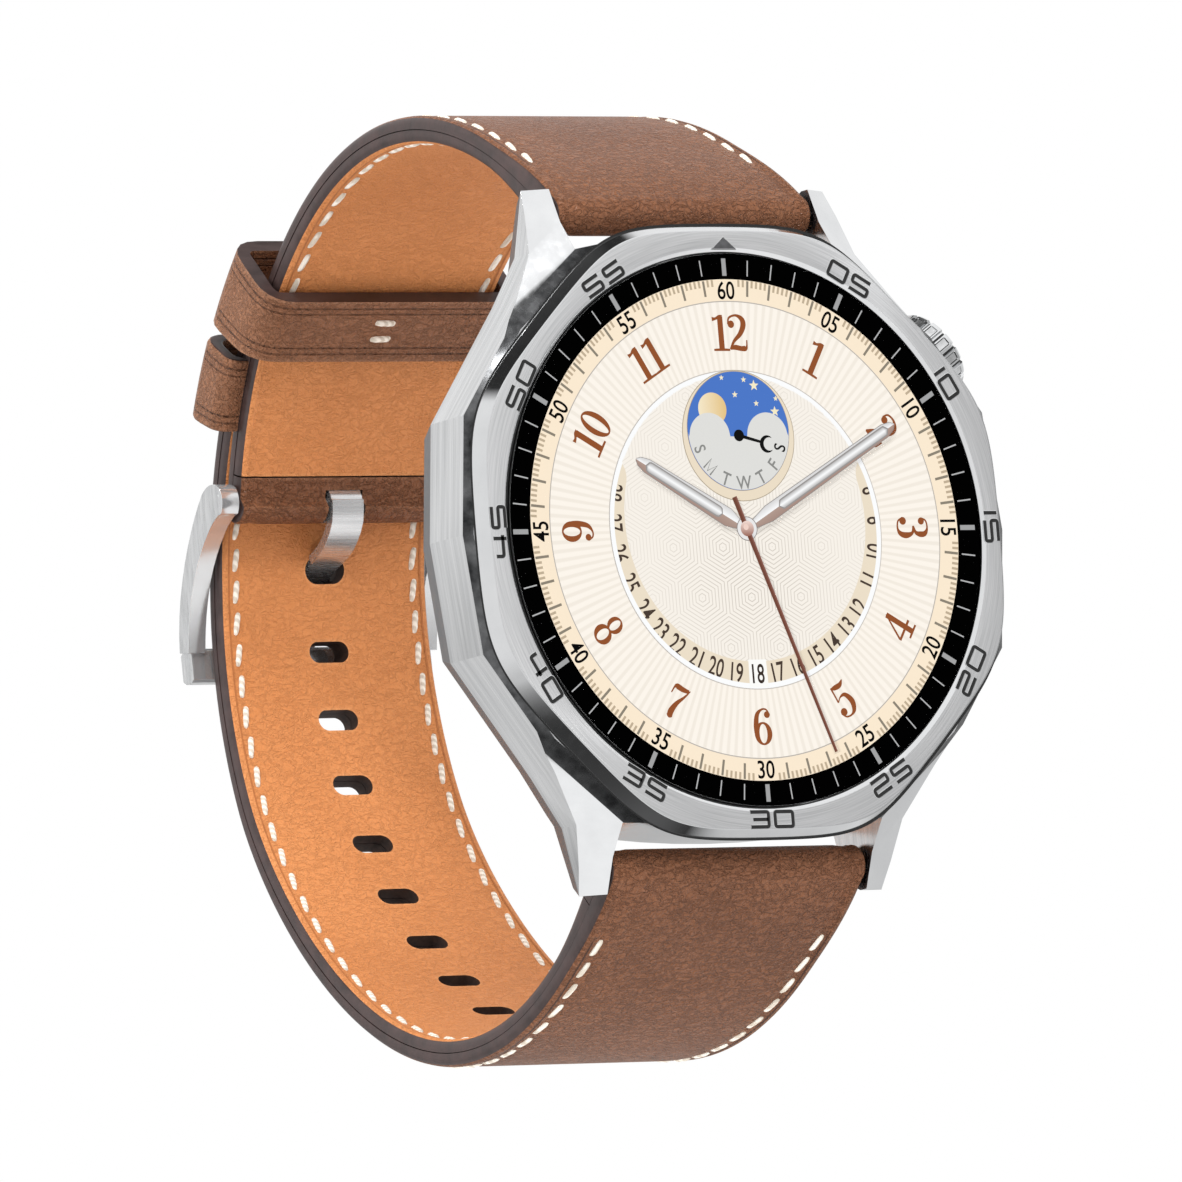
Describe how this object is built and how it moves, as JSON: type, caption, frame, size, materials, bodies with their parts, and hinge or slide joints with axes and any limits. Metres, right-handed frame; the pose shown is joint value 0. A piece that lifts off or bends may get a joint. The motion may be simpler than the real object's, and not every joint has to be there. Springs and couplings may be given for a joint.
{
  "type": "smartwatch",
  "caption": "Round steel smartwatch with an octagonal bezel, fluted crown, side button and a buckled two-layer leather strap with a sliding keeper",
  "frame": {"origin": "centre of the flat face of the sensor window on the back of the case, where the watch rests on the wrist", "axes": "+Y out of the back of the case towards the wrist, -Y the way the dial faces, +Z towards 12 o'clock, +X towards 3 o'clock and the crown"},
  "size_m": [0.046, 0.0633, 0.0693],
  "materials": {
    "brushed_steel": "brushed",
    "polished_steel": "mirror polished",
    "sapphire": "polished",
    "display": "gloss",
    "composite": "satin",
    "rubber": "matte",
    "board": "matte",
    "shield": "satin",
    "battery_foil": "satin",
    "copper": "satin",
    "flex": "satin",
    "brown_leather": "grained",
    "tan_lining": "fine grain"
  },
  "bodies": {
    "watch": {"mid_case": "brushed_steel", "bezel_ring": "brushed_steel", "crystal": "sapphire", "crystal_gasket": "rubber", "bezel_gasket": "rubber", "back_gasket": "rubber", "back_cover": "composite", "sensor_window": "display", "display_panel": "display", "display_flex": "flex", "main_board": "board", "shield_can_large": "shield", "shield_can_small": "shield", "battery": "battery_foil", "haptic_motor": "shield", "speaker": "composite", "microphone": "shield", "sensor_board": "board", "charging_coil": "copper", "frame_screw_1": "shield", "frame_screw_2": "shield", "frame_screw_3": "shield", "frame_screw_4": "shield", "inner_frame": "composite", "crown_tube": "brushed_steel", "crown_seal": "rubber", "crown_encoder": "composite", "button_seal": "rubber", "button_switch": "composite", "upper_bar_tube": "brushed_steel", "lower_bar_tube": "brushed_steel", "upper_strap_outer": "brown_leather", "upper_strap_lining": "tan_lining", "lower_strap_outer": "brown_leather", "lower_strap_lining": "tan_lining", "fixed_keeper": "brown_leather"},
    "crown_shaft": {"crown_stem": "polished_steel"},
    "crown": {"crown_knob": "polished_steel"},
    "side_button": {"button_cap": "brushed_steel", "button_stem": "polished_steel"},
    "upper_bar_latch": {"upper_bar_pin": "brushed_steel"},
    "lower_bar_latch": {"lower_bar_pin": "brushed_steel"},
    "sliding_keeper": {"free_keeper": "brown_leather"},
    "buckle": {"buckle_frame": "polished_steel", "buckle_bar": "brushed_steel"},
    "tongue": {"buckle_tongue": "brushed_steel"}
  },
  "joints": [
    {"name": "crown_press", "type": "slide", "parent": "watch", "child": "crown_shaft", "axis": [-0.8339, 0, -0.5519], "range_m": [0, 0.00035], "stiffness_N_per_m": 2000},
    {"name": "crown_turn", "type": "hinge", "parent": "crown_shaft", "child": "crown", "pos_m": [0.01976, -0.0068, 0.01308], "axis": [0.8339, 0, 0.5519], "continuous": true},
    {"name": "button_press", "type": "slide", "parent": "watch", "child": "side_button", "axis": [-0.8339, 0, 0.5519], "range_m": [0, 0.0003], "stiffness_N_per_m": 2000},
    {"name": "upper_bar_release", "type": "slide", "parent": "watch", "child": "upper_bar_latch", "axis": [-1, 0, 0], "range_m": [0, 0.0016], "stiffness_N_per_m": 600},
    {"name": "lower_bar_release", "type": "slide", "parent": "watch", "child": "lower_bar_latch", "axis": [-1, 0, 0], "range_m": [0, 0.0016], "stiffness_N_per_m": 600},
    {"name": "keeper_slide", "type": "hinge", "parent": "watch", "child": "sliding_keeper", "pos_m": [0, 0.0104, 0.00025], "axis": [1, 0, 0], "range_deg": [-1.8, 4]},
    {"name": "buckle_swing", "type": "hinge", "parent": "watch", "child": "buckle", "pos_m": [0, 0.04324, 0.00979], "axis": [1, 0, 0], "range_deg": [0, 4]},
    {"name": "tongue_lift", "type": "hinge", "parent": "buckle", "child": "tongue", "pos_m": [0, 0.04324, 0.00979], "axis": [1, 0, 0], "range_deg": [0, 2]}
  ]
}
